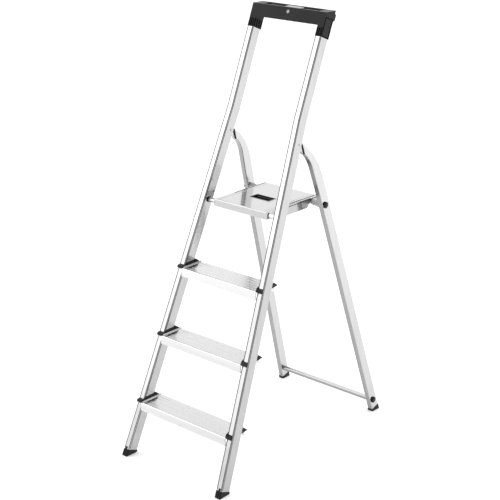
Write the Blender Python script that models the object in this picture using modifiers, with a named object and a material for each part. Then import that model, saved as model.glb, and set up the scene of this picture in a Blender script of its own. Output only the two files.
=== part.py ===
"""Folding platform step ladder: three treads, a platform, a guard rail with a tool tray,
and a rear frame that folds flat behind the front stiles.

Blender 4.5, metres, +Z up. The climbing side faces -Y and X runs across the ladder.
Shapes in the front stiles' frame are given as (x, u, v): u is the depth behind the stile's
front face and v runs up the stile. The rear legs have a frame of their own, made the same way.
"""

import math

import bmesh
import bpy
from mathutils import Matrix, Vector

# ---- driving dimensions -------------------------------------------------------------------
Y_SHIFT = -0.4510            # puts the middle of the footprint on the origin
CLEAR = 0.0003               # gap between pieces that touch

STEP_PITCH = 0.230           # rise from tread to tread
FIRST_TREAD = 0.1923         # height of the first tread's top
PLATFORM_TOP = 0.889
TRAY_TOP = 1.532

STILE_LEAN = math.radians(22.1)
STILE_WIDTH = 0.0232         # across, along X
STILE_DEPTH = 0.0440
STILE_WALL = 0.0018
STILE_ROUND = 0.0036         # corner radius
STILE_FOOT_X = 0.2120        # inner face at the floor
STILE_SPLAY = 0.0580         # sideways per metre along the stile, below the bend
STILE_BEND = 1.289           # distance along the stile, above it the rails are parallel

LEG_LEAN = math.radians(17.1)
LEG_WIDTH = 0.0196
LEG_DEPTH = 0.0378
LEG_WALL = 0.0015
LEG_ROUND = 0.0022
LEG_FOOT_Y = 0.8624          # front face at the floor
LEG_FOOT_X = 0.2112          # inner face at the floor
LEG_SPLAY = 0.0555
LEG_FRONT_BEND = (1.060, 0.120, 32.7)   # where the front face starts to curve, radius, sweep
LEG_REAR_BEND = (1.010, 0.250, 39.4)
LEG_TOE_IN = 0.0037          # sideways set of the curved top, over the stretch below
LEG_TOE_FROM = 0.950
LEG_TOE_TO = 1.125
LEG_CUT_U = -0.0190          # the curved top ends in a plane parallel to the leg
LEG_PLUG = 0.0016            # thickness of the black end plate

TREAD_DEPTH = 0.0995
TREAD_OVERHANG = 0.0120      # ahead of the stiles' front faces
TREAD_SKIRT = 0.0304
TREAD_WALL = 0.0020
TREAD_END_GAP = 0.0008       # from a stile's inner face to the tread's end
TREAD_CURB = 0.0040          # low upright edge at each end of a tread
TREAD_CURB_WALL = 0.0022

# Black clips, as (depth behind the stile's front face, height above the tread) points.
CLIP_STRIP = ((-0.0060, 0.0045), (0.0540, 0.0045), (0.0540, 0.0140), (0.0440, 0.0140), (0.0040, 0.0130),
              (-0.0060, 0.0090))
CLIP_NOSE = ((-0.0003, -0.0045), (-0.0060, -0.0045), (-0.0095, -0.0010), (-0.0110, 0.0040),
             (-0.0095, 0.0070), (-0.0003, 0.0085))
CLIP_HEEL = ((0.0443, -0.0005), (0.0680, 0.0015), (0.0700, 0.0030), (0.0680, 0.0050), (0.0530, 0.0145),
             (0.0443, 0.0175))
CLIP_STRIP_WALL = 0.0027

FOOT_WALL = 0.0012
FOOT_SOLE = 0.0050
TUBE_LIFT = 0.0012           # between a foot's sole and the slanted end of its tube
FRONT_FOOT_TOP = 0.0276      # along the stile
REAR_FOOT_TOP = 0.0095       # along the leg

HINGE = Vector((0.0, 0.4835, 1.1084))        # the rear frame's pins, through the stiles
HINGE_PIN_R = 0.0030
HINGE_BOSS_R = 0.0115
TONGUE_HALF = 0.0055
TONGUE_X = 0.1540

FRONT_AXLE = Vector((0.0, 0.3810, 0.8770))
FRONT_AXLE_R = 0.0050
SPACER_R = 0.0080
BUSH_R = 0.0102
REAR_AXLE = Vector((0.0, 0.6090, 0.8720))
REAR_AXLE_R = 0.0080
REAR_BAR_R = 0.0100
REAR_BAR_U = 0.0170
REAR_BAR_V = 0.0450
CAP_R = 0.0118
CAP_HEIGHT = 0.0050
TUBE_WALL = 0.0015

DECK_HALF = 0.1177
DECK_FRONT = 0.3700
DECK_REAR = 0.6410
DECK_SKIRT = 0.0260
DECK_WALL = 0.0016
SIDE_PLATE = 0.0040
SIDE_DROP = 0.0340

CATCH_Y = 0.4880             # middle of the grip recess in the platform
CATCH_HALF_X = 0.0405
CATCH_HALF_Y = 0.0180
CATCH_DEPTH = 0.0150
CATCH_WALL = 0.0022
ROD_R = 0.0022
ROD_Z = 0.8812
SPRING_R = 0.0040
SPRING_WIRE = 0.0005
SPRING_TURNS = 9

TRAY_SKIN = 0.0010
TRAY_ARM_V = 1.5715          # lower end of the arms, along the stile
TRAY_UNDER = 1.4900
TRAY_FLOOR = 0.0200          # below the top

COLOURS = {
    "anodised_aluminium": ((0.78, 0.79, 0.80), 0.38, 1.0),
    "polished_aluminium": ((0.86, 0.87, 0.88), 0.22, 1.0),
    "black_plastic": ((0.015, 0.015, 0.016), 0.45, 0.0),
    "grey_plastic": ((0.45, 0.45, 0.44), 0.50, 0.0),
    "steel": ((0.62, 0.62, 0.63), 0.30, 1.0),
}

SIDES = (("left", -1), ("right", 1))


# ---- scene, frames and materials ----------------------------------------------------------
def clear_scene():
    for obj in list(bpy.data.objects):
        bpy.data.objects.remove(obj, do_unlink=True)
    for coll in list(bpy.data.collections):
        bpy.data.collections.remove(coll)


def new_collection(name):
    coll = bpy.data.collections.new(name)
    bpy.context.scene.collection.children.link(coll)
    return coll


def empty(name, parent, location, lean=0.0):
    """A named frame. Its location is given in its parent's own frame."""
    obj = bpy.data.objects.new(name, None)
    obj.empty_display_size = 0.05
    obj.parent = parent
    obj.location = location
    obj.rotation_euler = (lean, 0.0, 0.0)
    PARTS.objects.link(obj)
    return obj


def material(name):
    mat = bpy.data.materials.get(name)
    if mat is None:
        colour, roughness, metallic = COLOURS[name]
        mat = bpy.data.materials.new(name)
        mat.use_nodes = True
        shader = mat.node_tree.nodes["Principled BSDF"]
        shader.inputs["Base Color"].default_value = (*colour, 1.0)
        shader.inputs["Roughness"].default_value = roughness
        shader.inputs["Metallic"].default_value = metallic
        mat.diffuse_color = (*colour, 1.0)
    return mat


# ---- mesh helpers -------------------------------------------------------------------------
def block(x, y, z):
    """A closed box between the given (low, high) pairs."""
    bm = bmesh.new()
    bmesh.ops.create_cube(bm, size=1.0)
    size = Vector((x[1] - x[0], y[1] - y[0], z[1] - z[0]))
    middle = Vector((x[0] + x[1], y[0] + y[1], z[0] + z[1])) / 2
    bmesh.ops.transform(bm, matrix=Matrix.Translation(middle) @ Matrix.Diagonal((*size, 1)), verts=bm.verts)
    return bm


def cylinder(radius, x0, x1, centre=(0.0, 0.0), sides=32):
    """A closed cylinder along X, its axis at (y, z) = centre."""
    bm = bmesh.new()
    bmesh.ops.create_cone(
        bm, cap_ends=True, segments=sides, radius1=radius, radius2=radius, depth=abs(x1 - x0))
    turn = Matrix.Rotation(math.pi / 2, 4, "Y")
    shift = Matrix.Translation(((x0 + x1) / 2, *centre))
    bmesh.ops.transform(bm, matrix=shift @ turn, verts=bm.verts)
    return bm


def turned(profile, closed=False, sides=32):
    """Spins (x, radius) points about X. A closed profile makes a ring, an open one a solid."""
    bm = bmesh.new()
    verts = [bm.verts.new((x, r, 0.0)) for x, r in profile]
    pairs = list(zip(verts, verts[1:]))
    if closed:
        pairs.append((verts[-1], verts[0]))
    edges = [bm.edges.new(pair) for pair in pairs]
    bmesh.ops.spin(
        bm, geom=verts + edges, cent=(0, 0, 0), axis=(1, 0, 0), angle=2 * math.pi, steps=sides,
        use_merge=True)
    bmesh.ops.remove_doubles(bm, verts=bm.verts, dist=1e-6)
    bmesh.ops.recalc_face_normals(bm, faces=bm.faces)
    return bm


def hull(outline, x0, x1):
    """A plate between x0 and x1 with a convex outline of (y, z) points."""
    bm = bmesh.new()
    for x in (x0, x1):
        for y, z in outline:
            bm.verts.new((x, y, z))
    bmesh.ops.convex_hull(bm, input=bm.verts)
    bmesh.ops.dissolve_limit(bm, angle_limit=math.radians(0.5), verts=bm.verts, edges=bm.edges)
    bmesh.ops.recalc_face_normals(bm, faces=bm.faces)
    return bm


def circle(y, z, radius, count=32):
    steps = (2 * math.pi * k / count for k in range(count))
    return [(y + radius * math.cos(a), z + radius * math.sin(a)) for a in steps]


def slice_at(bm, point, normal, clear=None):
    """Cuts along a plane, and with clear="beyond" drops what lies on its normal's side."""
    bmesh.ops.bisect_plane(
        bm, geom=bm.verts[:] + bm.edges[:] + bm.faces[:], plane_co=point, plane_no=normal,
        clear_outer=clear == "beyond")
    if clear:
        edges = [e for e in bm.edges if e.is_boundary]
        bmesh.ops.holes_fill(bm, edges=edges, sides=0)
        bmesh.ops.recalc_face_normals(bm, faces=bm.faces)


def open_ends(bm, normals):
    """Removes the faces that look along any of the given directions."""
    bm.normal_update()
    gone = [f for f in bm.faces if any(f.normal.dot(Vector(n)) > 0.85 for n in normals)]
    bmesh.ops.delete(bm, geom=gone, context="FACES")


def finish(name, bm, slot, parent, location=(0, 0, 0), cutter=False):
    """Makes the object of a mesh that was built in its parent's frame, about the given origin."""
    bmesh.ops.translate(bm, verts=bm.verts, vec=-Vector(location))
    mesh = bpy.data.meshes.new(name)
    bm.to_mesh(mesh)
    bm.free()
    obj = bpy.data.objects.new(name, mesh)
    obj.parent = parent
    obj.location = location
    if cutter:
        obj.hide_render = True
        obj.display_type = "WIRE"
        CUTTERS.objects.link(obj)
        return obj
    mesh.shade_smooth()
    mesh.set_sharp_from_angle(angle=math.radians(30))
    mesh.materials.append(material(slot))
    PARTS.objects.link(obj)
    return obj


def bevel(obj, width, segments=2):
    mod = obj.modifiers.new("rounding", "BEVEL")
    mod.width = width
    mod.segments = segments
    mod.limit_method = "ANGLE"
    mod.angle_limit = math.radians(30)
    return obj


def shell(obj, wall):
    mod = obj.modifiers.new("wall", "SOLIDIFY")
    mod.thickness = wall
    mod.offset = -1.0
    mod.use_even_offset = True
    return obj


def rounded(bm, width):
    """Rounds the lengthwise edges of a cutter, so that what it leaves keeps its wall at the corners."""
    along = [e for e in bm.edges if abs(e.verts[0].co.z - e.verts[1].co.z) > 0.9 * e.calc_length()]
    bmesh.ops.bevel(bm, geom=along, offset=width, segments=2, profile=0.5, affect="EDGES")
    return bm


def boolean(obj, bm, operation, label):
    """Cuts the mesh out of the object, or joins it on. The mesh is in the object's parent's frame."""
    tool = finish(f"{obj.name}_{label}", bm, None, obj.parent, cutter=True)
    mod = obj.modifiers.new(label, "BOOLEAN")
    mod.operation = operation
    mod.object = tool
    mod.solver = "EXACT"
    return obj


def cut(obj, bm, label):
    return boolean(obj, bm, "DIFFERENCE", label)


def join(obj, bm, label):
    return boolean(obj, bm, "UNION", label)


# ---- geometry of the two leaning frames ---------------------------------------------------
def stile_uv(y, z):
    c, s = math.cos(STILE_LEAN), math.sin(STILE_LEAN)
    return y * c - z * s, y * s + z * c


def leg_uv(y, z):
    c, s = math.cos(LEG_LEAN), math.sin(LEG_LEAN)
    return (y - LEG_FOOT_Y) * c + z * s, z * c - (y - LEG_FOOT_Y) * s


def stile_x(v):
    """Inner face of a stile, v metres along it."""
    return STILE_FOOT_X - STILE_SPLAY * min(v, STILE_BEND)


def leg_x(v):
    """Inner face of a rear leg, v metres along it. The curved top is set inwards a little."""
    part = min(1.0, max(0.0, (v - LEG_TOE_FROM) / (LEG_TOE_TO - LEG_TOE_FROM)))
    return LEG_FOOT_X - LEG_SPLAY * v - LEG_TOE_IN * part * part * (3 - 2 * part)


def stile_section(side, grow, u, v):
    """A box around a stile, grown by the same amount all round, that follows its bend."""
    inner = stile_x(STILE_BEND)
    bm = block((inner - grow, inner + STILE_WIDTH + grow), (u[0] - grow, u[1] + grow), v)
    if v[0] < STILE_BEND < v[1]:
        slice_at(bm, (0, 0, STILE_BEND), (0, 0, 1))
    for vert in bm.verts:
        vert.co.x = side * (vert.co.x + STILE_SPLAY * max(0.0, STILE_BEND - vert.co.z))
    bmesh.ops.recalc_face_normals(bm, faces=bm.faces)
    return bm


def leg_section(side, grow, v):
    bm = block((-grow, LEG_WIDTH + grow), (-grow, LEG_DEPTH + grow), v)
    for vert in bm.verts:
        vert.co.x = side * (vert.co.x + leg_x(vert.co.z))
    bmesh.ops.recalc_face_normals(bm, faces=bm.faces)
    return bm


def bent_leg(side, inset, reach):
    """A rear leg as a solid bar, or what is inside its walls. Reach is how far along the bends
    it goes: 1 ends in the cut plane. The straight part is built at its real height, the curved
    part between the heights 1 and 1 + reach, and is then laid onto the two arcs."""
    bm = block((inset, LEG_WIDTH - inset), (inset, LEG_DEPTH - inset), (-0.05, 1.0 + reach))
    for height in (LEG_TOE_FROM, 0.98):
        slice_at(bm, (0, 0, height), (0, 0, 1))
    for k in range(10):
        slice_at(bm, (0, 0, 1.0 + k / 10), (0, 0, 1))
    for vert in bm.verts:
        along = vert.co.z - 1.0
        if along > -1e-6:
            front = vert.co.y < LEG_DEPTH / 2
            start, radius, sweep = LEG_FRONT_BEND if front else LEG_REAR_BEND
            middle = (0.0 if front else LEG_DEPTH) - radius
            radius = vert.co.y - middle
            angle = math.radians(sweep) * max(0.0, along)
            vert.co.y = middle + radius * math.cos(angle)
            vert.co.z = start + radius * math.sin(angle)
        vert.co.x = side * (vert.co.x + leg_x(vert.co.z))
    if side < 0:
        bmesh.ops.reverse_faces(bm, faces=bm.faces)
    return bm


def level_cut(bm, lean, height, keep_above):
    """Cuts a mesh of a leaning frame with a level plane."""
    up = Vector((0, math.sin(-lean), math.cos(lean)))
    direction = -up if keep_above else up
    slice_at(bm, up * height, direction, "beyond")


# ---- front frame --------------------------------------------------------------------------
def build_stile(side, name):
    bm = stile_section(side, 0.0, (0.0, STILE_DEPTH), (-0.05, 1.75))
    level_cut(bm, STILE_LEAN, FOOT_SOLE + TUBE_LIFT, True)
    level_cut(bm, STILE_LEAN, TRAY_TOP - TRAY_FLOOR - 0.006, False)
    open_ends(bm, [(0, 0, 1), (0, 0, -1)])
    stile = finish(f"stile_{name}", bm, "anodised_aluminium", STILES)
    shell(bevel(stile, STILE_ROUND, 3), STILE_WALL)
    u, v = stile_uv(HINGE.y, HINGE.z)
    middle = side * (stile_x(v) + STILE_WIDTH / 2)
    through_rear = (STILE_DEPTH - 0.006, STILE_DEPTH + 0.006)
    slot = block((middle - 0.0078, middle + 0.0078), through_rear, (v - 0.052, v + 0.017))
    cut(stile, slot, "tongue_slot")
    cut(stile, cylinder(HINGE_PIN_R + CLEAR, middle - 0.02, middle + 0.02, (u, v)), "pin_holes")
    u, v = stile_uv(FRONT_AXLE.y, FRONT_AXLE.z)
    inner = stile_x(v)
    hole = cylinder(FRONT_AXLE_R + CLEAR, side * (inner - 0.006), side * (inner + 0.008), (u, v))
    cut(stile, hole, "axle_hole")


def build_front_foot(side, name):
    top = FRONT_FOOT_TOP
    bm = stile_section(side, FOOT_WALL, (0.0, STILE_DEPTH), (-0.05, top))
    level_cut(bm, STILE_LEAN, 0.0, True)
    foot = bevel(finish(f"front_foot_{name}", bm, "black_plastic", STILES), 0.0026)
    tab_x = side * (stile_x(0) + STILE_WIDTH / 2)
    tab = block((tab_x - 0.004, tab_x + 0.004), (-FOOT_WALL, -CLEAR), (top - 0.002, top + 0.008))
    join(foot, tab, "tab")
    pocket = stile_section(side, CLEAR, (0.0, STILE_DEPTH), (-0.05, top + 0.02))
    level_cut(pocket, STILE_LEAN, FOOT_SOLE, True)
    cut(foot, rounded(pocket, 0.0030), "pocket")


def build_tread(number):
    """A folded channel: a flat top with a skirt in front and a skirt behind, open at its ends."""
    top = FIRST_TREAD + STEP_PITCH * (number - 1)
    front = top * math.tan(STILE_LEAN) - TREAD_OVERHANG
    bm = block((-1, 1), (front, front + TREAD_DEPTH), (top - TREAD_SKIRT, top))
    follow_stiles(bm, TREAD_END_GAP, TREAD_END_GAP)
    open_ends(bm, [(1, 0, 0), (-1, 0, 0), (0, 0, -1)])
    tread = finish(f"tread_{number}", bm, "anodised_aluminium", LADDER, (0, front, top))
    shell(bevel(tread, 0.0040, 3), TREAD_WALL)
    rib = block((-1, 1), (front + 0.045, front + 0.048), (top - 0.016, top - TREAD_WALL / 2))
    follow_stiles(rib, TREAD_END_GAP + 0.008, TREAD_END_GAP + 0.008)
    join(tread, rib, "middle_rib")
    for name, side in SIDES:
        x = sorted((side * 1.0, side * 0.5))
        curb = block(x, (front + 0.005, front + TREAD_DEPTH - 0.004), (top - 0.0015, top + TREAD_CURB))
        gaps = (TREAD_END_GAP - 0.00015, TREAD_END_GAP + TREAD_CURB_WALL)
        follow_stiles(curb, *gaps, inner_level=top + TREAD_CURB)
        join(tread, curb, f"curb_{name}")


def follow_stiles(bm, outer_gap, inner_gap, inner_level=None):
    """Sets the outer ends of a mesh (those at x = 1 or -1) this far inside the stiles, and its other
    ends by the second gap. With an inner level these are upright, at their place on that height."""
    for vert in bm.verts:
        outer = abs(vert.co.x) > 0.75
        height = vert.co.z if outer or inner_level is None else inner_level
        _, v = stile_uv(vert.co.y, height)
        gap = outer_gap if outer else inner_gap
        vert.co.x = math.copysign(stile_x(v) - gap, vert.co.x)


def build_clip(side, name, number):
    """A strip above a tread's end, with a nose and a heel that wrap the stile's front and rear."""
    top = FIRST_TREAD + STEP_PITCH * (number - 1)
    lean = math.tan(STILE_LEAN)
    v = top / math.cos(STILE_LEAN)
    inner = stile_x(v)

    def level(outline):
        """The outline's points as (u, v), each height taken straight up from the tread."""
        return [(u, v + u * lean + rise / math.cos(STILE_LEAN)) for u, rise in outline]

    strip = hull(level(CLIP_STRIP), inner - CLEAR - CLIP_STRIP_WALL, inner - CLEAR)
    clip = finish(f"tread_clip_{number}_{name}", strip, "black_plastic", STILES)
    for outline, label in ((CLIP_NOSE, "nose"), (CLIP_HEEL, "heel")):
        join(clip, hull(level(outline), inner - 0.0006, inner + STILE_WIDTH - 0.001), label)
    for tool in (clip, *(m.object for m in clip.modifiers)):
        for vert in tool.data.vertices:
            vert.co.x = side * (vert.co.x - STILE_SPLAY * (vert.co.z - v))
        if side < 0:
            tool.data.flip_normals()


def build_front_axle():
    length = 0.168
    axle = finish("front_axle", cylinder(FRONT_AXLE_R, -length, length), "steel", PLATFORM_PIVOT)
    bevel(axle, 0.0006, 1)
    _, v = stile_uv(FRONT_AXLE.y, FRONT_AXLE.z)
    wall = stile_x(v)
    bore = FRONT_AXLE_R + CLEAR
    for name, side in SIDES:
        ring = [(wall - 0.0030, bore), (wall - 0.0010, bore), (wall - 0.0010, BUSH_R - 0.0006),
                (wall - 0.0016, BUSH_R), (wall - 0.0030, BUSH_R)]
        bush = turned([(side * x, r) for x, r in ring], closed=True)
        finish(f"front_bush_{name}", bush, "black_plastic", PLATFORM_PIVOT)
        start = DECK_HALF + SIDE_PLATE + 0.0010
        tube = [(start, bore), (wall - 0.0033, bore), (wall - 0.0033, SPACER_R), (start, SPACER_R)]
        spacer = turned([(side * x, r) for x, r in tube], closed=True)
        finish(f"front_spacer_{name}", spacer, "anodised_aluminium", PLATFORM_PIVOT)


# ---- tray at the top ----------------------------------------------------------------------
def level_tray_block(x, u, low, high):
    """A box of the stiles' frame that is trimmed by two level planes."""
    bm = block(x, u, (TRAY_ARM_V - 0.2, TRAY_ARM_V + 0.2))
    level_cut(bm, STILE_LEAN, low, True)
    level_cut(bm, STILE_LEAN, high, False)
    return bm


def build_tray():
    inner = stile_x(STILE_BEND)
    low, high = -TRAY_SKIN, STILE_DEPTH + TRAY_SKIN
    outer = inner + STILE_WIDTH + TRAY_SKIN
    body = level_tray_block((-outer, outer), (low, high), TRAY_UNDER, TRAY_TOP)
    tray = finish("top_tray", body, "black_plastic", STILES)
    for name, side in SIDES:
        x = sorted((side * (inner - TRAY_SKIN), side * (outer - 0.0002)))
        arm = block(x, (low + 0.0002, high - 0.0002), (TRAY_ARM_V, TRAY_ARM_V + 0.2))
        level_cut(arm, STILE_LEAN, TRAY_UNDER + 0.010, False)
        join(tray, arm, f"arm_{name}")
    bevel(tray, 0.0015)
    half = inner - 0.014
    floor = TRAY_TOP - TRAY_FLOOR
    recess = level_tray_block((-half, half), (low + 0.0035, high - 0.0035), floor, TRAY_TOP + 0.02)
    cut(tray, recess, "recess")
    for name, side in SIDES:
        pocket = stile_section(side, CLEAR, (0.0, STILE_DEPTH), (TRAY_ARM_V - 0.02, TRAY_ARM_V + 0.2))
        level_cut(pocket, STILE_LEAN, TRAY_TOP - TRAY_FLOOR - 0.003, False)
        cut(tray, rounded(pocket, 0.0020), f"pocket_{name}")


def build_tray_trim():
    """What is fixed to the tray: a magnet strip in its recess, a badge and two rear hooks."""
    floor = TRAY_TOP - TRAY_FLOOR
    strip = level_tray_block((-0.033, 0.033), (0.006, 0.038), floor + CLEAR, TRAY_TOP - 0.001)
    bevel(finish("tray_magnet", strip, "grey_plastic", STILES), 0.0010)
    v = (TRAY_TOP - 0.014) / math.cos(STILE_LEAN)
    badge = bmesh.new()
    bmesh.ops.create_cone(badge, cap_ends=True, segments=32, radius1=0.0062, radius2=0.0055, depth=0.0012)
    spot = Matrix.Translation((0, -TRAY_SKIN - CLEAR - 0.0006, v)) @ Matrix.Rotation(math.pi / 2, 4, "X")
    bmesh.ops.transform(badge, matrix=spot, verts=badge.verts)
    finish("tray_badge", badge, "grey_plastic", STILES)
    rear = STILE_DEPTH + TRAY_SKIN + CLEAR
    inner = stile_x(STILE_BEND)
    top = (TRAY_TOP - 0.009) / math.cos(STILE_LEAN) + rear * math.tan(STILE_LEAN)
    for name, side in SIDES:
        x = sorted((side * (inner + 0.005), side * (inner + STILE_WIDTH - 0.001)))
        hook = block(x, (rear, rear + 0.0045), (top - 0.028, top))
        hook = bevel(finish(f"tray_hook_{name}", hook, "black_plastic", STILES), 0.0008)
        lip = block((x[0] + 0.002, x[1] - 0.002), (rear + 0.003, rear + 0.012), (top - 0.024, top - 0.019))
        join(hook, lip, "lip")
        rim = block((x[0] + 0.002, x[1] - 0.002), (rear + 0.009, rear + 0.012), (top - 0.022, top - 0.002))
        join(hook, rim, "rim")


# ---- platform -----------------------------------------------------------------------------
def build_deck():
    y = (DECK_FRONT - FRONT_AXLE.y, DECK_REAR - FRONT_AXLE.y)
    top = PLATFORM_TOP - FRONT_AXLE.z
    bm = block((-DECK_HALF, DECK_HALF), y, (top - DECK_SKIRT, top))
    open_ends(bm, [(1, 0, 0), (-1, 0, 0), (0, 0, -1)])
    deck = shell(bevel(finish("platform_deck", bm, "polished_aluminium", PLATFORM), 0.0040, 3), DECK_WALL)
    middle = CATCH_Y - FRONT_AXLE.y
    hole = block((-CATCH_HALF_X - CLEAR, CATCH_HALF_X + CLEAR),
                 (middle - CATCH_HALF_Y - CLEAR, middle + CATCH_HALF_Y + CLEAR), (top - 0.01, top + 0.01))
    cut(deck, hole, "catch_hole")


def build_side_plate(side, name):
    y = (DECK_FRONT - 0.001 - FRONT_AXLE.y, DECK_REAR + 0.001 - FRONT_AXLE.y)
    top = PLATFORM_TOP - FRONT_AXLE.z - 0.0005
    x = sorted((side * (DECK_HALF + CLEAR), side * (DECK_HALF + SIDE_PLATE)))
    outline = [(y[0], top - 0.006), (y[0] + 0.006, top), (y[1] - 0.006, top), (y[1], top - 0.006),
               (y[1], top - 0.028), (y[1] - 0.010, top - SIDE_DROP), (y[0] + 0.060, top - SIDE_DROP),
               (y[0], top - 0.024)]
    plate = finish(f"platform_side_{name}", hull(outline, *x), "polished_aluminium", PLATFORM)
    bevel(plate, 0.0006, 1)
    cut(plate, cylinder(FRONT_AXLE_R + CLEAR, x[0] - 0.01, x[1] + 0.01), "axle_hole")
    axle = REAR_AXLE - FRONT_AXLE
    mouth = circle(axle.y, axle.z, REAR_AXLE_R + CLEAR)
    mouth += [(axle.y - 0.0300, top - SIDE_DROP - 0.004), (axle.y + 0.0083, top - SIDE_DROP - 0.004)]
    cut(plate, hull(mouth, x[0] - 0.01, x[1] + 0.01), "hook_mouth")


def build_catch_housing():
    y, top = CATCH_Y - FRONT_AXLE.y, PLATFORM_TOP - FRONT_AXLE.z
    hx, hy = CATCH_HALF_X, CATCH_HALF_Y
    cup = block((-hx, hx), (y - hy, y + hy), (top - CATCH_DEPTH, top + 0.0008))
    housing = finish("catch_housing", cup, "black_plastic", PLATFORM)
    flange = block((-hx - 0.002, hx + 0.002), (y - hy - 0.002, y + hy + 0.002), (top + CLEAR, top + 0.0014))
    join(housing, flange, "flange")
    wall = CATCH_WALL
    inside = (y - hy + wall, y + hy - wall)
    pocket = block((-hx + wall, hx - wall), inside, (top - CATCH_DEPTH + wall, top + 0.01))
    cut(housing, pocket, "pocket")
    way = cylinder(ROD_R + CLEAR, -0.01, 0.01, (0, 0))
    bmesh.ops.rotate(way, verts=way.verts, cent=(0, 0, 0), matrix=Matrix.Rotation(math.pi / 2, 3, "Z"))
    bmesh.ops.translate(way, verts=way.verts, vec=(0, y + hy, ROD_Z - FRONT_AXLE.z))
    cut(housing, way, "rod_hole")


def rod_between(y0, y1, radius):
    """A round bar along Y at the release rod's height, in the platform's frame."""
    bm = cylinder(radius, y0, y1)
    bmesh.ops.rotate(bm, verts=bm.verts, cent=(0, 0, 0), matrix=Matrix.Rotation(math.pi / 2, 3, "Z"))
    bmesh.ops.translate(bm, verts=bm.verts, vec=(0, 0, ROD_Z - FRONT_AXLE.z))
    return bm


def build_release():
    """Finger grip, rod and nose slide forwards together against the coil spring."""
    y, top = CATCH_Y - FRONT_AXLE.y, PLATFORM_TOP - FRONT_AXLE.z
    rear = y + CATCH_HALF_Y - CATCH_WALL - CLEAR
    half = CATCH_HALF_X - CATCH_WALL - 0.0015
    floor = top - CATCH_DEPTH + CATCH_WALL
    grip = block((-half, half), (rear - 0.0085, rear), (floor + 0.0006, top - 0.0015))
    bevel(finish("release_grip", grip, "black_plastic", PLATFORM), 0.0012)
    nose_front = REAR_AXLE.y - FRONT_AXLE.y - 0.0200
    rod = rod_between(rear + CLEAR, nose_front - CLEAR, ROD_R)
    finish("release_rod", rod, "steel", PLATFORM)
    axle = REAR_AXLE - FRONT_AXLE
    nose = block((-0.012, 0.012), (nose_front, axle.y - 0.002), (axle.z + 0.0028, top - DECK_WALL - 0.0008))
    nose = finish("release_nose", nose, "black_plastic", PLATFORM)
    cut(nose, cylinder(REAR_AXLE_R + 0.0006, -0.02, 0.02, (axle.y, axle.z)), "axle_seat")
    build_spring(y + CATCH_HALF_Y + CLEAR + SPRING_WIRE, nose_front - CLEAR - SPRING_WIRE)


def build_spring(y0, y1):
    per_turn = 10
    count = SPRING_TURNS * per_turn
    curve = bpy.data.curves.new("release_spring", "CURVE")
    curve.dimensions = "3D"
    curve.bevel_depth = SPRING_WIRE
    curve.bevel_resolution = 2
    curve.use_fill_caps = True
    spline = curve.splines.new("POLY")
    spline.points.add(count)
    for k, point in enumerate(spline.points):
        turn = 2 * math.pi * k / per_turn
        at = (SPRING_R * math.cos(turn), y0 + (y1 - y0) * k / count,
              ROD_Z - FRONT_AXLE.z + SPRING_R * math.sin(turn), 1.0)
        point.co = at
    curve.materials.append(material("steel"))
    spring = bpy.data.objects.new("release_spring", curve)
    spring.parent = PLATFORM
    PARTS.objects.link(spring)


# ---- rear frame ---------------------------------------------------------------------------
def build_rear_leg(side, name):
    """A tube whose top curves forwards, tapers in depth and ends in a plane along the leg."""
    bm = bent_leg(side, 0.0, 1.0)
    level_cut(bm, -LEG_LEAN, FOOT_SOLE + TUBE_LIFT, True)
    leg = bevel(finish(f"rear_leg_{name}", bm, "anodised_aluminium", LEGS), LEG_ROUND)
    cut(leg, bent_leg(side, LEG_WALL, 1.1), "bore")
    axle = leg_uv(REAR_AXLE.y, REAR_AXLE.z)
    bar = (REAR_BAR_U, REAR_BAR_V)
    for label, radius, at in (("axle_holes", REAR_AXLE_R, axle), ("bar_holes", REAR_BAR_R, bar)):
        x = leg_x(at[1]) + LEG_WIDTH / 2
        cut(leg, cylinder(radius + CLEAR, side * (x - 0.02), side * (x + 0.02), at), label)


def leg_end(bend):
    """Height of a bend's last point, where it reaches the cut plane."""
    start, radius, sweep = bend
    return start + radius * math.sin(math.radians(sweep))


def build_leg_plug(side, name):
    low, high = leg_end(LEG_FRONT_BEND), leg_end(LEG_REAR_BEND)
    inner = leg_x((low + high) / 2)
    x = sorted((side * (inner + 0.0003), side * (inner + LEG_WIDTH - 0.0003)))
    plate = block(x, (LEG_CUT_U - CLEAR - LEG_PLUG, LEG_CUT_U - CLEAR), (low + 0.0004, high - 0.0004))
    plug = bevel(finish(f"leg_plug_{name}", plate, "black_plastic", LEGS), 0.0005, 1)
    x = sorted((side * (inner + 0.004), side * (inner + LEG_WIDTH - 0.004)))
    join(plug, block(x, (LEG_CUT_U - CLEAR - LEG_PLUG / 2, -0.0100), (low + 0.010, high - 0.018)), "boss")


def build_rear_foot(side, name):
    bm = leg_section(side, FOOT_WALL, (-0.05, REAR_FOOT_TOP))
    level_cut(bm, -LEG_LEAN, 0.0, True)
    foot = bevel(finish(f"rear_foot_{name}", bm, "black_plastic", LEGS), 0.0007)
    pocket = leg_section(side, CLEAR, (-0.05, REAR_FOOT_TOP + 0.02))
    level_cut(pocket, -LEG_LEAN, FOOT_SOLE, True)
    cut(foot, rounded(pocket, 0.0013), "pocket")


def build_tongue(side, name):
    """Hinge plate between a leg's end plate and the pin inside the stile."""
    u, v = leg_uv(HINGE.y, HINGE.z)
    face = LEG_CUT_U - LEG_PLUG - 2 * CLEAR
    outline = circle(u, v, HINGE_BOSS_R) + [(face, v - 0.044), (face, v - 0.005)]
    x = sorted((side * (TONGUE_X - TONGUE_HALF), side * (TONGUE_X + TONGUE_HALF)))
    tongue = bevel(finish(f"hinge_tongue_{name}", hull(outline, *x), "steel", LEGS), 0.0006, 1)
    cut(tongue, cylinder(HINGE_PIN_R + CLEAR, x[0] - 0.01, x[1] + 0.01, (u, v)), "pin_hole")


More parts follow.
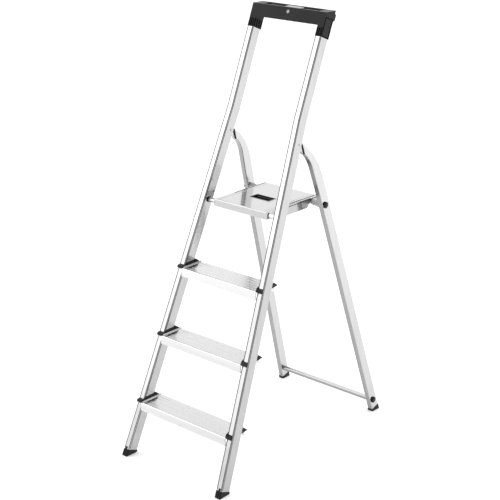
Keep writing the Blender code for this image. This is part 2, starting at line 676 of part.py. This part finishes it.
def riveted_pin(inner, outer, radius, head_radius, head=0.0012):
    """A shaft with a low head on each end, between two x positions."""
    a, b = inner - CLEAR, outer + CLEAR
    return turned([(a - head, 0.0), (a - head, head_radius * 0.7),
                   (a - head * 0.4, head_radius), (a, head_radius),
                   (a, radius), (b, radius), (b, head_radius), (b + head * 0.4, head_radius),
                   (b + head, head_radius * 0.7), (b + head, 0.0)], sides=24)


def build_hinge_pin(side, name):
    _, v = stile_uv(HINGE.y, HINGE.z)
    inner = stile_x(v) - 0.0004
    pin = riveted_pin(inner, inner + STILE_WIDTH + 0.0008, HINGE_PIN_R, 0.0046)
    bmesh.ops.scale(pin, vec=(side, 1, 1), verts=pin.verts)
    bmesh.ops.recalc_face_normals(pin, faces=pin.faces)
    finish(f"hinge_pin_{name}", pin, "steel", HINGE_LINE)


def tube(half, radius):
    bore = radius - TUBE_WALL
    return turned([(-half, bore), (half, bore), (half, radius), (-half, radius)], closed=True)


def cap(start, bore):
    """A round domed cap whose plug sits in a tube's bore."""
    plug = bore - CLEAR
    rim = [(start - 0.008, 0.0), (start - 0.008, plug - 0.0006), (start - 0.007, plug),
           (start, plug), (start, CAP_R),
           (start + 0.0022, CAP_R)]
    dome = [(start + 0.0022 + (CAP_HEIGHT - 0.0022) * math.sin(a), CAP_R * math.cos(a) ** 0.45)
            for a in (math.radians(20 * k) for k in range(1, 4))]
    return turned(rim + dome + [(start + CAP_HEIGHT, CAP_R * 0.45), (start + CAP_HEIGHT, 0.0)])


def build_cross_tubes():
    """The axle that carries the platform's rear edge and the bar that ties the legs near the floor."""
    axle_uv = leg_uv(REAR_AXLE.y, REAR_AXLE.z)
    for stem, radius, at in (("axle", REAR_AXLE_R, axle_uv), ("bar", REAR_BAR_R, (REAR_BAR_U, REAR_BAR_V))):
        outer = leg_x(at[1]) + LEG_WIDTH + 0.0012
        spot = (0.0, *at)
        pipe = tube(outer - CLEAR, radius)
        bmesh.ops.translate(pipe, verts=pipe.verts, vec=spot)
        finish(f"rear_{stem}", pipe, "anodised_aluminium", LEGS, spot)
        for name, side in SIDES:
            end = cap(outer, radius - TUBE_WALL)
            bmesh.ops.scale(end, vec=(side, 1, 1), verts=end.verts)
            bmesh.ops.recalc_face_normals(end, faces=end.faces)
            bmesh.ops.translate(end, verts=end.verts, vec=spot)
            finish(f"{stem}_cap_{name}", end, "black_plastic", LEGS, spot)
    start = DECK_HALF + SIDE_PLATE + 0.0010
    wall = leg_x(axle_uv[1]) - 0.0012
    bore = REAR_AXLE_R + CLEAR
    for name, side in SIDES:
        profile = [(start, bore), (wall, bore), (wall, 0.0135), (wall - 0.004, 0.0135), (start, 0.0098)]
        cone = turned([(side * x, r) for x, r in profile], closed=True)
        bmesh.ops.translate(cone, verts=cone.verts, vec=(0.0, *axle_uv))
        finish(f"axle_cone_{name}", cone, "grey_plastic", LEGS, (0.0, *axle_uv))


# ---- build --------------------------------------------------------------------------------
clear_scene()
PARTS = new_collection("platform_step_ladder")
CUTTERS = new_collection("cutters")

LADDER = empty("ladder_frame", None, (0, Y_SHIFT, 0))
STILES = empty("stile_frame", LADDER, (0, 0, 0), -STILE_LEAN)
HINGE_LINE = empty("rear_frame_hinge", LADDER, HINGE)
LEGS = empty("leg_frame", HINGE_LINE, Vector((0, LEG_FOOT_Y, 0)) - HINGE, LEG_LEAN)
PLATFORM_PIVOT = empty("front_axle_line", LADDER, FRONT_AXLE)
PLATFORM = empty("platform_hinge", LADDER, FRONT_AXLE)

for side_name, sign in SIDES:
    build_stile(sign, side_name)
    build_front_foot(sign, side_name)
    build_side_plate(sign, side_name)
    build_rear_leg(sign, side_name)
    build_rear_foot(sign, side_name)
    build_leg_plug(sign, side_name)
    build_tongue(sign, side_name)
    build_hinge_pin(sign, side_name)
    for step in (1, 2, 3):
        build_clip(sign, side_name, step)
for step in (1, 2, 3):
    build_tread(step)
build_front_axle()
build_tray()
build_tray_trim()
build_deck()
build_catch_housing()
build_release()
build_cross_tubes()
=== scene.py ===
"""Looks of the platform step ladder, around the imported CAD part.

Shapes in the front stiles' frame are given as (x, u, v): u is the depth behind the stile's front
face and v runs up the stile. The others are in world coordinates. All sizes are in metres.
"""

import math

import bmesh
import bpy
from mathutils import Matrix, Vector


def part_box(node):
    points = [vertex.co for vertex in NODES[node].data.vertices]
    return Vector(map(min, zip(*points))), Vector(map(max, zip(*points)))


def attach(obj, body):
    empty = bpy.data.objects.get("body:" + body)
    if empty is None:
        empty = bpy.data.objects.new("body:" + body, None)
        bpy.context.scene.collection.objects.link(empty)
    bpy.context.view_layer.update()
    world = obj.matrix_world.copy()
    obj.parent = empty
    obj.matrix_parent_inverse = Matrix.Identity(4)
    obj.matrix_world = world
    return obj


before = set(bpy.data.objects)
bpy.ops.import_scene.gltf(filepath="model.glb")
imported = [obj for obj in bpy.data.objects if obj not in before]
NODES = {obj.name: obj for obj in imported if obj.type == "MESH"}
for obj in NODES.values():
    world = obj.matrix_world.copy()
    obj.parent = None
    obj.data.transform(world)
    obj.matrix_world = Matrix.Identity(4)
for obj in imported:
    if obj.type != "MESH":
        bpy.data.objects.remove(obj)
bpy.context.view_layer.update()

# ---- the CAD's frames ---------------------------------------------------------------------
Y_SHIFT = -0.4510
STILE_LEAN = math.radians(22.1)
LEG_LEAN = math.radians(17.1)
STILE_WIDTH = 0.0232
STILE_FOOT_X = 0.2120
STILE_SPLAY = 0.0580
STILE_BEND = 1.289
STILE_TOP_X = STILE_FOOT_X - STILE_SPLAY * STILE_BEND
SIDES = (("left", -1), ("right", 1))

STILES = Matrix.Translation((0, Y_SHIFT, 0)) @ Matrix.Rotation(-STILE_LEAN, 4, "X")
WORLD = Matrix.Identity(4)

# ---- materials ----------------------------------------------------------------------------


class Shader:
    """A node material around one Principled shader, with short ways to add texture."""

    def __init__(self, name, colour, roughness, metallic=0.0, specular=0.5):
        self.mat = bpy.data.materials.new(name)
        self.mat.use_nodes = True
        self.nodes = self.mat.node_tree.nodes
        self.links = self.mat.node_tree.links
        self.bsdf = self.nodes["Principled BSDF"]
        self.bsdf.inputs["Base Color"].default_value = (*colour, 1.0)
        self.bsdf.inputs["Roughness"].default_value = roughness
        self.bsdf.inputs["Metallic"].default_value = metallic
        self.bsdf.inputs["Specular IOR Level"].default_value = specular
        self.mat.diffuse_color = (*colour, 1.0)
        self.height = None

    def coords(self, scale, turn=(0, 0, 0)):
        """Object coordinates, turned and then stretched."""
        source = self.nodes.new("ShaderNodeTexCoord").outputs["Object"]
        mapping = self.nodes.new("ShaderNodeMapping")
        mapping.vector_type = "POINT"
        mapping.inputs["Rotation"].default_value = turn
        mapping.inputs["Scale"].default_value = scale
        self.links.new(source, mapping.inputs["Vector"])
        return mapping.outputs["Vector"]

    def noise(self, scale, turn=(0, 0, 0), detail=3.0, roughness=0.5):
        node = self.nodes.new("ShaderNodeTexNoise")
        node.inputs["Scale"].default_value = 1.0
        node.inputs["Detail"].default_value = detail
        node.inputs["Roughness"].default_value = roughness
        self.links.new(self.coords(scale, turn), node.inputs["Vector"])
        return node.outputs["Fac"]

    def spread(self, value, low, high, start=0.3, end=0.7):
        """Maps a noise value onto low..high."""
        node = self.nodes.new("ShaderNodeMapRange")
        node.inputs["From Min"].default_value = start
        node.inputs["From Max"].default_value = end
        node.inputs["To Min"].default_value = low
        node.inputs["To Max"].default_value = high
        self.links.new(value, node.inputs["Value"])
        return node.outputs["Result"]

    def vary_colour(self, value, low, high):
        """Blends between two colours by a value of 0..1."""
        mix = self.nodes.new("ShaderNodeMix")
        mix.data_type = "RGBA"
        mix.inputs["A"].default_value = (*low, 1.0)
        mix.inputs["B"].default_value = (*high, 1.0)
        self.links.new(value, mix.inputs["Factor"])
        self.links.new(mix.outputs["Result"], self.bsdf.inputs["Base Color"])

    def paint_front_shading(self, factor):
        """Paints shading into the colour: multiplies it by a factor on the faces that look along Y, as
        painted shade where the factor is below 1 and as painted light where it is above 1.
        """
        normal = self.nodes.new("ShaderNodeTexCoord").outputs["Normal"]
        split = self.nodes.new("ShaderNodeSeparateXYZ")
        self.links.new(normal, split.inputs[0])
        size = self.nodes.new("ShaderNodeMath")
        size.operation = "ABSOLUTE"
        self.links.new(split.outputs["Y"], size.inputs[0])
        mix = self.nodes.new("ShaderNodeMix")
        mix.data_type = "RGBA"
        mix.blend_type = "MULTIPLY"
        mix.inputs["B"].default_value = (factor, factor, factor, 1.0)
        self.links.new(size.outputs[0], mix.inputs["Factor"])
        self.links.new(self.bsdf.inputs["Base Color"].links[0].from_socket, mix.inputs["A"])
        self.links.new(mix.outputs["Result"], self.bsdf.inputs["Base Color"])

    def vary_roughness(self, value, low, high):
        self.links.new(self.spread(value, low, high), self.bsdf.inputs["Roughness"])

    def bump(self, value, distance, strength):
        """Adds relief on top of the relief that is already there."""
        node = self.nodes.new("ShaderNodeBump")
        node.inputs["Strength"].default_value = strength
        node.inputs["Distance"].default_value = distance
        self.links.new(value, node.inputs["Height"])
        if self.height:
            self.links.new(self.height, node.inputs["Normal"])
        self.height = node.outputs["Normal"]
        self.links.new(self.height, self.bsdf.inputs["Normal"])


def grey(level):
    """A grey with a trace of blue."""
    return (level, level, level * 1.01)


def extrusion(name, base, roughness, turn, along, front_shading=1.0):
    """Anodised aluminium with fine die lines along one axis of a turned frame. The colour of the
    faces that look forwards or backwards is multiplied by the last argument, as painted shade where it
    is below 1 and as painted light where it is above 1."""
    fine = [1600.0, 1600.0, 1600.0]
    fine[along] = 3.0
    broad = [60.0, 60.0, 60.0]
    broad[along] = 0.8
    shader = Shader(name, grey(base), roughness, metallic=1.0)
    lines = shader.noise(fine, turn, detail=2.0)
    cloud = shader.noise(broad, turn, detail=3.0)
    grain = shader.noise((2600, 2600, 2600), detail=1.0)
    shader.vary_colour(shader.spread(cloud, 0.0, 1.0), grey(base * 0.96), grey(base * 1.03))
    if front_shading != 1.0:
        shader.paint_front_shading(front_shading)
    shader.vary_roughness(cloud, roughness - 0.03, roughness + 0.04)
    shader.bump(lines, 0.00002, 0.5)
    shader.bump(grain, 0.00001, 0.3)
    return shader.mat


def plastic(name, base, roughness, grain=0.00003, specular=0.20):
    """Moulded plastic: a fine spark-eroded grain, with a faint cloud in gloss and colour."""
    shader = Shader(name, grey(base), roughness, specular=specular)
    fine = shader.noise((1500, 1500, 1500), detail=2.0, roughness=0.6)
    cloud = shader.noise((35, 35, 35), detail=4.0)
    shader.vary_colour(shader.spread(cloud, 0.0, 1.0), grey(base * 0.85), grey(base * 1.2))
    shader.vary_roughness(cloud, roughness - 0.05, roughness + 0.06)
    shader.bump(fine, grain, 0.6)
    return shader.mat


def steel(name, base, roughness):
    """Zinc-plated steel, with a cloudy and slightly yellowish surface."""
    shader = Shader(name, grey(base), roughness, metallic=1.0)
    cloud = shader.noise((220, 220, 220), detail=5.0, roughness=0.6)
    yellowish = (base * 0.9, base * 0.9, base * 0.88)
    shader.vary_colour(shader.spread(cloud, 0.0, 1.0), yellowish, grey(base * 1.05))
    shader.vary_roughness(cloud, roughness - 0.06, roughness + 0.08)
    shader.bump(shader.noise((900, 900, 900)), 0.00002, 0.4)
    return shader.mat


ALU_STILE = extrusion("anodised_stile", 0.48, 0.13, (STILE_LEAN, 0, 0), 2)
# Painted shade: on the rear legs, axle and bar, the faces that look forwards or backwards have their
# colour multiplied by 0.56.
ALU_LEG = extrusion("anodised_leg", 0.55, 0.18, (-LEG_LEAN, 0, 0), 2, front_shading=0.56)
# Dark aluminium for the painted shade lines along the stiles' front corners.
ALU_SHADE_LINE = extrusion("painted_edge_shade", 0.10, 0.30, (STILE_LEAN, 0, 0), 2)
# Painted light: on the treads, the faces that look forwards or backwards, the front skirts among them,
# have their colour multiplied by 1.30.
ALU_TREAD = extrusion("anodised_tread", 0.50, 0.22, (0, 0, 0), 0, front_shading=1.30)
ALU_BRIGHT = extrusion("rolled_sheet", 0.43, 0.12, (0, 0, 0), 1)
BLACK = plastic("black_moulded", 0.007, 0.40)
BLACK_DEEP = plastic("black_ribbed", 0.002, 0.34, specular=0.03)
BLACK_GLOSS = plastic("black_cap", 0.004, 0.22, 0.00001)
# A lighter grey for the tray's front lip: a painted highlight along its rim.
GREY_RIM_HIGHLIGHT = plastic("painted_rim_highlight", 0.075, 0.38)
GREY_PLASTIC = plastic("grey_moulded", 0.42, 0.45)
ZINC = steel("zinc_plated", 0.55, 0.32)


def paint(obj, mat):
    obj.data.materials.clear()
    obj.data.materials.append(mat)


for name, node in NODES.items():
    if name.startswith("stile"):
        paint(node, ALU_STILE)
    elif name.startswith(("rear_leg", "rear_axle", "rear_bar")):
        paint(node, ALU_LEG)
    elif name.startswith(("tread_1", "tread_2", "tread_3", "front_spacer")):
        paint(node, ALU_TREAD)
    elif name.startswith("platform_"):
        paint(node, ALU_BRIGHT)
    elif name.startswith(("hinge", "front_axle", "release_rod", "release_spring")):
        paint(node, ZINC)
    elif name.startswith(("tray_magnet", "tray_badge", "axle_cone")):
        paint(node, GREY_PLASTIC)
    elif "cap" in name:
        paint(node, BLACK_GLOSS)
    else:
        paint(node, BLACK)

# ---- fine details around the CAD part --------------------------------------------------------
SINK = 0.0003  # how far a rib or bead reaches into the face that it stands on
TREAD_CURB = 0.0040
RIB_COUNT = 5
RIB_PITCH = 0.0165
RIB_WIDTH = 0.0050
DECK_BEAD = 0.0030
RIM_GAP = 0.0010
RIM_WIDTH = 0.0030
CORNER_SHADE_DEPTHS = (0.0030, 0.0054)  # where the painted shade lines lie along the depth of a stile, on its inner and outer face
SHADE_LINES_LOW, SHADE_LINES_HIGH = 0.030, 1.5700
ARM_RIBS = (1.5730, 1.6010)  # along the stile, on the inner and front faces of the tray's arms
ARM_FRAME = (1.5735, 1.6390)  # along the stile, on the outer faces


def bars(name, boxes, frame_matrix, mat, body, round_by=0.0002):
    """One piece made of low rounded bars, each given as its (low, high) range along x, y and z."""
    bm = bmesh.new()
    for box in boxes:
        made = bmesh.ops.create_cube(bm, size=1.0)
        centre = [(low + high) / 2 for low, high in box]
        scale = [high - low for low, high in box]
        for vert in made["verts"]:
            vert.co = Vector([c + k * s for c, k, s in zip(centre, vert.co, scale)])
    bmesh.ops.bevel(bm, geom=bm.edges[:], offset=round_by, segments=2, affect="EDGES", profile=0.5)
    add_piece(name, bm, frame_matrix, mat, body)


def add_piece(name, bm, frame_matrix, mat, body):
    """Turns a mesh in a given frame into a visible piece that rides on a body."""
    bmesh.ops.transform(bm, matrix=frame_matrix, verts=bm.verts)
    mesh = bpy.data.meshes.new(name)
    bm.to_mesh(mesh)
    bm.free()
    piece = bpy.data.objects.new(name, mesh)
    bpy.context.scene.collection.objects.link(piece)
    paint(piece, mat)
    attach(piece, body)


def mirrored(side, low, high):
    """The range of a bar that lies between two distances from the middle, on one side."""
    return tuple(sorted((side * low, side * high)))


def tread_details():
    """Grip ribs along each tread's top, and a bead along the top and the bottom of its front."""
    for number in (1, 2, 3):
        low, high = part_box(f"tread_{number}")
        top = high.z - TREAD_CURB
        reach = high.x - 0.0105
        ribs = [((-reach, reach), (y, y + RIB_WIDTH), (top - SINK, top + 0.0005))
                for y in (low.y + 0.013 + RIB_PITCH * k for k in range(RIB_COUNT))]
        bars(f"tread_ribs_{number}", ribs, WORLD, ALU_TREAD, "front_frame")
        reach = high.x - 0.0045
        beads = [((-reach, reach), (low.y - 0.0006, low.y + 0.0004), (z, z + 0.0022))
                 for z in (top - 0.0075, low.z + 0.0012)]
        bars(f"tread_beads_{number}", beads, WORLD, ALU_TREAD, "front_frame")


def deck_details():
    """Rolled beads along the platform's sides and front, a rim around its catch, and black strips as
    painted shade in the gaps and along the edges of the side plates.
    """
    low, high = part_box("platform_deck")
    top = high.z
    along = (low.y + 0.008, high.y - 0.008)
    beads = [((x, x + DECK_BEAD), along, (top - SINK, top + 0.0007))
             for x in (-0.1105, -0.1010, 0.0980, 0.1075)]
    beads += [((-0.1140, 0.1140), (low.y - 0.0005, low.y + 0.0004), (z, z + 0.0020))
              for z in (top - 0.0070, low.z + 0.001)]
    bars("deck_beads", beads, WORLD, ALU_BRIGHT, "platform")
    catch_low, catch_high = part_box("catch_housing")
    x = catch_high.x + RIM_GAP
    front, back = catch_low.y - RIM_GAP, catch_high.y + RIM_GAP
    across = (-x - RIM_WIDTH, x + RIM_WIDTH)
    height = (top - SINK, top + 0.0008)
    rim = [(across, (front - RIM_WIDTH, front), height),
           (across, (back, back + RIM_WIDTH), height),
           ((-x - RIM_WIDTH, -x), (front, back), height),
           ((x, x + RIM_WIDTH), (front, back), height)]
    bars("catch_rim", rim, WORLD, ALU_BRIGHT, "platform")
    # Black strips as painted shade: the shadow in the gap between the deck and each side plate, and
    # along the side plate's edge.
    gap_shade_end = high.y - 0.004
    for name, side in SIDES:
        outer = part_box(f"platform_side_{name}")[1 if side > 0 else 0].x * side
        on_top = mirrored(side, outer - 0.0080, outer - 0.0056)
        on_side = mirrored(side, outer - 0.0004, outer + 0.0005)
        gap_shades = [(on_top, (low.y + 0.10, gap_shade_end), (top - SINK, top + 0.0005)),
                 (on_side, (low.y + 0.06, gap_shade_end), (top - 0.0070, top - 0.0046)),
                 (on_side, (low.y + 0.0004, low.y + 0.0052), (top - 0.0220, top - 0.0060))]
        bars(f"platform_gap_shade_{name}", gap_shades, WORLD, BLACK, "platform", 0.0001)


def stile_shade_lines():
    """Narrow dark strips beside both front corners of each stile: painted shade that stands in for the
    dark reflections along the stiles' rounded corners.
    """
    wide = STILE_WIDTH
    on_front = (-0.0003, 0.0002)
    profiles = [((-0.0004, 0.0002), CORNER_SHADE_DEPTHS),
                ((wide - 0.0002, wide + 0.0004), CORNER_SHADE_DEPTHS),
                ((0.0006, 0.0040), on_front),
                ((wide - 0.0040, wide - 0.0006), on_front)]
    for name, side in SIDES:
        bm = bmesh.new()
        for x, u in profiles:
            rings = []
            for v in (SHADE_LINES_LOW, STILE_BEND, SHADE_LINES_HIGH):
                inner = STILE_FOOT_X - STILE_SPLAY * min(v, STILE_BEND)
                ring = [(x[0], u[0]), (x[1], u[0]), (x[1], u[1]), (x[0], u[1])]
                rings.append([bm.verts.new((side * (inner + a), b, v)) for a, b in ring])
            for low, high in zip(rings, rings[1:]):
                for k in range(4):
                    bm.faces.new((low[k], low[(k + 1) % 4], high[(k + 1) % 4], high[k]))
            bm.faces.new(rings[0][::-1])
            bm.faces.new(rings[-1])
        bmesh.ops.recalc_face_normals(bm, faces=bm.faces)
        bmesh.ops.bevel(bm, geom=bm.edges[:], offset=0.00012, segments=1, affect="EDGES", profile=0.5)
        add_piece(f"stile_shade_lines_{name}", bm, STILES, ALU_SHADE_LINE, "front_frame")


def tray_details():
    """Ribs on the tray's arms, cross ribs and a front lip in its recess; the lip's lighter grey is a
    painted highlight along the tray's front rim.
    """
    inner, outer = STILE_TOP_X - 0.0010, STILE_TOP_X + STILE_WIDTH + 0.0008
    for name, side in SIDES:
        inner_face = mirrored(side, inner - 0.0006, inner + 0.0002)
        outer_face = mirrored(side, outer - 0.0002, outer + 0.0008)
        ribs = [(inner_face, (u, u + 0.0060), ARM_RIBS) for u in (0.0015, 0.0130, 0.0245, 0.0360)]
        ribs += [(mirrored(side, x, x + 0.0046), (-0.0016, -0.0008), ARM_RIBS)
                 for x in (inner + 0.0022, inner + 0.0102, inner + 0.0182)]
        ribs += [(outer_face, (u, u + 0.0044), ARM_FRAME) for u in (0.0008, 0.0388)]
        ribs += [(outer_face, (0.0052, 0.0388), (v, v + 0.0030))
                 for v in (ARM_FRAME[0], ARM_FRAME[1] - 0.0030)]
        bars(f"tray_arm_ribs_{name}", ribs, STILES, BLACK_DEEP, "front_frame", 0.0003)
    tray_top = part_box("top_tray")[1].z
    low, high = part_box("tray_magnet")
    walls = [((x, x + 0.0016), (low.y - 0.001, high.y + 0.001), (tray_top - 0.0204, tray_top - 0.0060))
             for x in (-0.0925, -0.0610, 0.0594, 0.0909)]
    bars("tray_dividers", walls, WORLD, BLACK, "front_frame", 0.0003)
    # The lip along the tray's front rim carries the painted highlight.
    front = tray_top * math.tan(STILE_LEAN) + Y_SHIFT - 0.0010
    lip = [((-outer + 0.001, outer - 0.001), (front + 0.0004, front + 0.0060),
            (tray_top - 0.0020, tray_top + 0.0006))]
    bars("tray_lip", lip, WORLD, GREY_RIM_HIGHLIGHT, "front_frame", 0.0006)


def foot_details():
    """Raised ribs on the front of each front foot."""
    for name, side in SIDES:
        ribs = [(mirrored(side, x, x + 0.0030), (-0.0022, -0.0010), (0.0045, 0.0255))
                for x in (STILE_FOOT_X + 0.0035, STILE_FOOT_X + 0.0105, STILE_FOOT_X + 0.0175)]
        bars(f"front_foot_ribs_{name}", ribs, STILES, BLACK_GLOSS, "front_frame", 0.0004)


tread_details()
deck_details()
stile_shade_lines()
tray_details()
foot_details()

# ---- floor, light and camera --------------------------------------------------------------
CAMERA_AT = Vector((2.8078, -3.2286, 2.2305))
CAMERA_TILT, CAMERA_TURN = 70.373, 41.262
LENS_MM = 93.40
TO_CAMERA = Vector((0.651, -0.697, 0.300)).normalized()
TO_BACK = Vector((-0.65, 0.70, 0.30)).normalized()
TO_LEFT = Vector((-1.0, 0.0, 0.05)).normalized()
WORLD_LEVEL = 1.62
BACKDROP_LEVEL = 1.5  # what the camera sees behind the object
FLOOR_GLOW = 0.3


def build_floor():
    mesh = bpy.data.meshes.new("floor")
    mesh.from_pydata([(-30, -30, 0), (30, -30, 0), (30, 30, 0), (-30, 30, 0)], [], [(0, 1, 2, 3)])
    floor = bpy.data.objects.new("floor", mesh)
    bpy.context.scene.collection.objects.link(floor)
    shader = Shader("pale_floor", (0.86, 0.86, 0.86), 0.9, specular=0.0)
    shader.bsdf.inputs["Emission Color"].default_value = (1, 1, 1, 1)
    shader.bsdf.inputs["Emission Strength"].default_value = FLOOR_GLOW
    floor.data.materials.append(shader.mat)


def build_world():
    """A pale studio: bright all round, darker where the main view's camera stands, a little darker
    opposite it, and nearly black in a small part to the left."""
    world = bpy.data.worlds.new("studio")
    world.use_nodes = True
    bpy.context.scene.world = world
    tree = world.node_tree
    background = tree.nodes["Background"]
    coord = tree.nodes.new("ShaderNodeTexCoord").outputs["Generated"]
    level = cone(tree, coord, TO_CAMERA, inner=60, outer=84, inside=0.42, outside=WORLD_LEVEL)
    back = cone(tree, coord, TO_BACK, inner=12, outer=40, inside=0.94, outside=1.0)
    left = cone(tree, coord, TO_LEFT, inner=12, outer=32, inside=0.10, outside=1.0)
    for factor in (back, left):
        product = tree.nodes.new("ShaderNodeMath")
        product.operation = "MULTIPLY"
        tree.links.new(level, product.inputs[0])
        tree.links.new(factor, product.inputs[1])
        level = product.outputs["Value"]
    path = tree.nodes.new("ShaderNodeLightPath")
    mix = tree.nodes.new("ShaderNodeMix")
    mix.inputs["B"].default_value = BACKDROP_LEVEL
    tree.links.new(path.outputs["Is Camera Ray"], mix.inputs["Factor"])
    tree.links.new(level, mix.inputs["A"])
    tree.links.new(mix.outputs["Result"], background.inputs["Strength"])
    background.inputs["Color"].default_value = (1, 1, 1, 1)


def cone(tree, direction, axis, inner, outer, inside, outside):
    """A level that goes smoothly from inside to outside between two angles, in degrees, around an
    axis."""
    dot = tree.nodes.new("ShaderNodeVectorMath")
    dot.operation = "DOT_PRODUCT"
    dot.inputs[1].default_value = axis
    tree.links.new(direction, dot.inputs[0])
    span = tree.nodes.new("ShaderNodeMapRange")
    span.interpolation_type = "SMOOTHSTEP"
    span.inputs["From Min"].default_value = math.cos(math.radians(outer))
    span.inputs["From Max"].default_value = math.cos(math.radians(inner))
    span.inputs["To Min"].default_value = outside
    span.inputs["To Max"].default_value = inside
    tree.links.new(dot.outputs["Value"], span.inputs["Value"])
    return span.outputs["Result"]


def softbox(name, at, aim, size, radiance):
    """A square or oblong area light, whose brightness does not change with its size."""
    light = bpy.data.lights.new(name, "AREA")
    light.shape = "RECTANGLE"
    light.size, light.size_y = size
    light.energy = radiance * math.pi * size[0] * size[1]
    obj = bpy.data.objects.new(name, light)
    obj.location = at
    obj.rotation_euler = (Vector(aim) - Vector(at)).to_track_quat("-Z", "Y").to_euler()
    bpy.context.scene.collection.objects.link(obj)


def build_camera():
    camera = bpy.data.cameras.new("camera")
    camera.sensor_width = 36.0
    camera.lens = LENS_MM
    camera.shift_x = -0.001
    camera.shift_y = 0.001
    obj = bpy.data.objects.new("camera", camera)
    obj.location = CAMERA_AT
    obj.rotation_euler = (math.radians(CAMERA_TILT), 0, math.radians(CAMERA_TURN))
    bpy.context.scene.collection.objects.link(obj)
    bpy.context.scene.camera = obj


build_floor()
build_world()
softbox("key", at=(-2.4, -3.0, 1.9), aim=(0, 0, 0.8), size=(2.6, 2.6), radiance=0.55)
softbox("front", at=(-3.6, -3.8, 3.0), aim=(-3.6, -3.7999, 0), size=(6.0, 6.0), radiance=0.8)
softbox("rear", at=(4.0, 4.4, 3.0), aim=(4.0, 4.4001, 0), size=(7.0, 7.0), radiance=0.75)
build_camera()
bpy.context.scene.view_settings.view_transform = "Standard"
